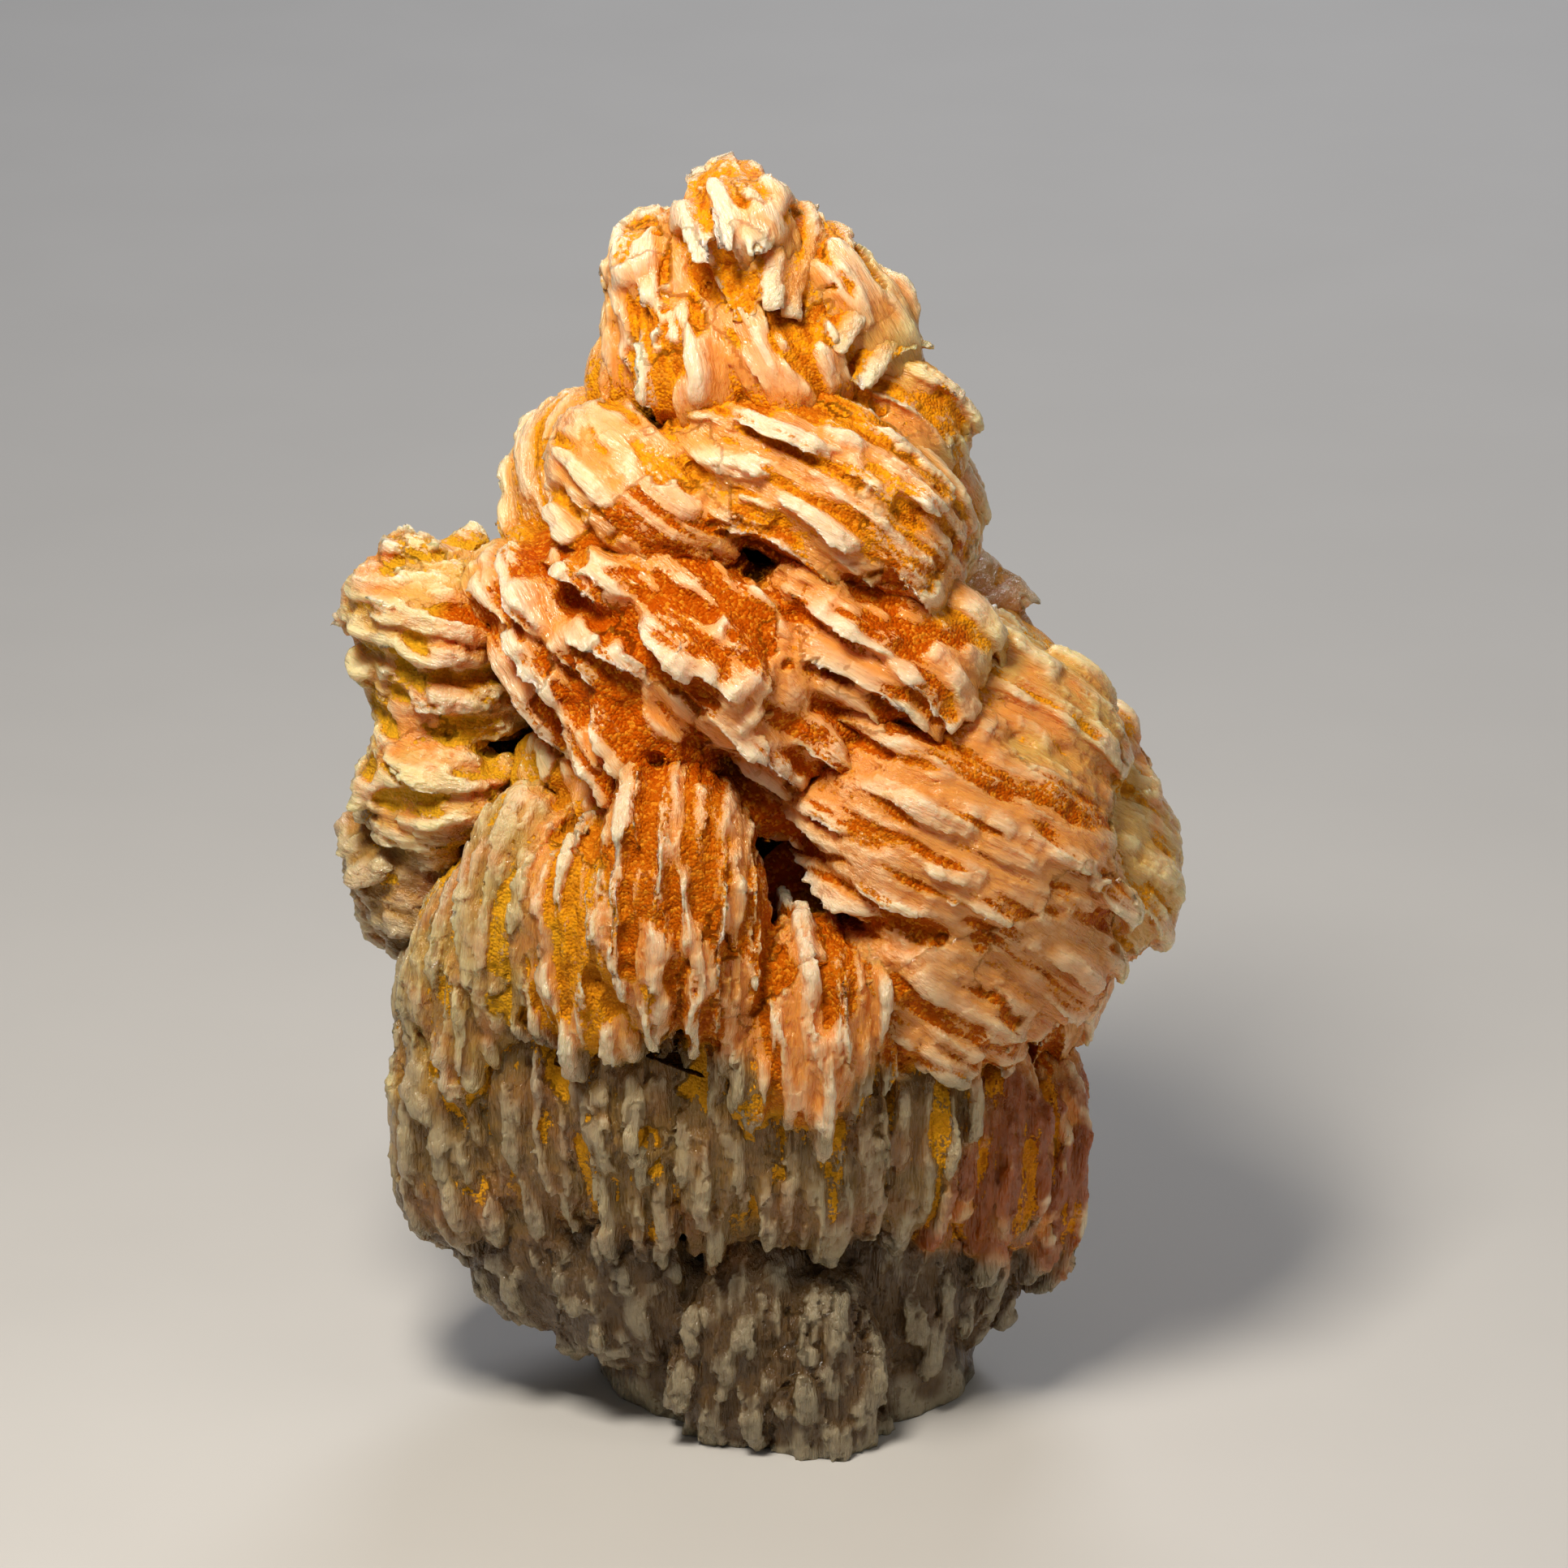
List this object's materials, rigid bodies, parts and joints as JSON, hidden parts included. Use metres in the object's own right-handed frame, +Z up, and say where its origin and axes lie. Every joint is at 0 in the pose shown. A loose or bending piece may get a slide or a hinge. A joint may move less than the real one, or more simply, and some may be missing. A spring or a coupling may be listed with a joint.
{
  "type": "mineral crystal cluster",
  "caption": "Upright mineral cluster of crested cerussite sprays with orange mimetite in the grooves, stepped in tiers above a narrower fluted foot with a flat base.",
  "frame": {"origin": "middle of the flat base that the cluster rests on", "axes": "+Z up along the cluster's height, -Y towards the display side, +X to the right seen from that side"},
  "size_m": [0.0526, 0.0388, 0.0783],
  "materials": {
    "cerussite": "waxy translucent peach-white crystal with grainy orange mimetite in the grooves"
  },
  "bodies": {
    "root": {"cerussite_cluster": "cerussite"}
  },
  "joints": []
}
